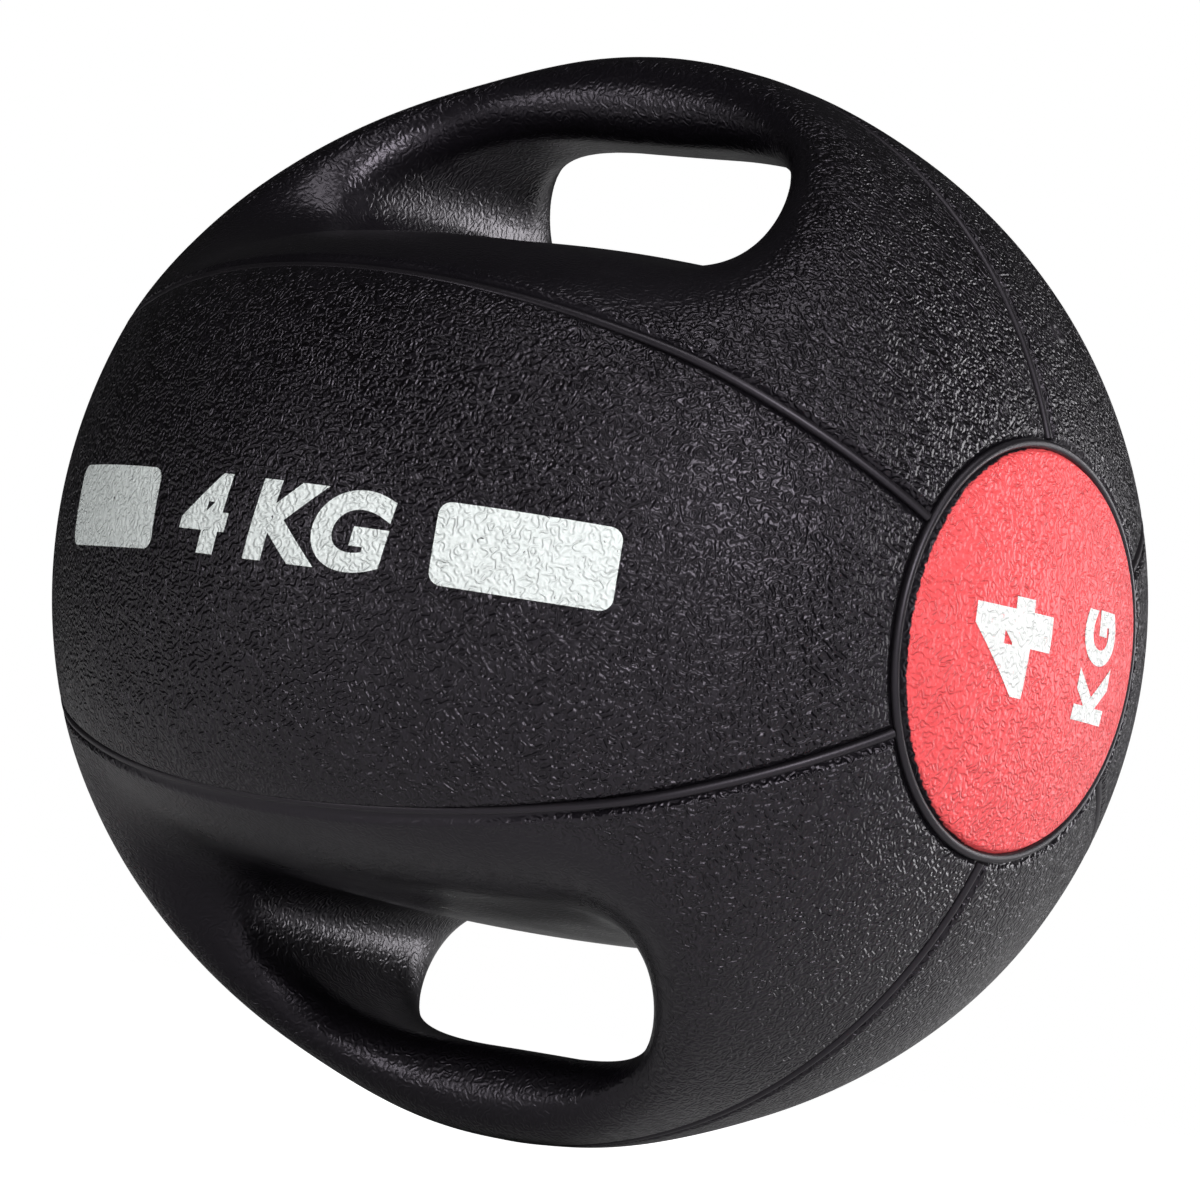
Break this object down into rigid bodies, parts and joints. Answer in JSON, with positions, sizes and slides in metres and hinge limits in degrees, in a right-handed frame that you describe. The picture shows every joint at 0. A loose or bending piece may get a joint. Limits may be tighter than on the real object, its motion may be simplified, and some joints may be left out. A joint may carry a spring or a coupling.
{
  "type": "medicine ball",
  "caption": "Near-spherical weighted rubber exercise ball with two opposite moulded-in grip bars, hand tunnels under them, and a round label cap at each pole.",
  "frame": {"origin": "centre of the ball, which is the middle of its bounding box", "axes": "+X through the middle of the right label cap, -Y through the middle of the front panel, +Z through the middle of the upper grip bar"},
  "size_m": [0.26, 0.2594, 0.2594],
  "materials": {
    "cover_rubber": "pebble-textured satin",
    "label_rubber": "painted satin",
    "weight_rubber": "matte",
    "grip_rubber": "matte",
    "bladder_rubber": "satin",
    "valve_rubber": "satin",
    "plug_rubber": "satin"
  },
  "bodies": {
    "root": {"front_panel": "cover_rubber", "rear_panel": "cover_rubber", "upper_front_panel": "cover_rubber", "upper_rear_panel": "cover_rubber", "lower_front_panel": "cover_rubber", "lower_rear_panel": "cover_rubber", "label_disc_right": "label_rubber", "label_disc_left": "label_rubber", "carcass_front": "weight_rubber", "carcass_rear": "weight_rubber", "upper_grip_core": "grip_rubber", "lower_grip_core": "grip_rubber", "bladder": "bladder_rubber", "valve_body": "valve_rubber", "valve_plug": "plug_rubber"}
  },
  "joints": []
}
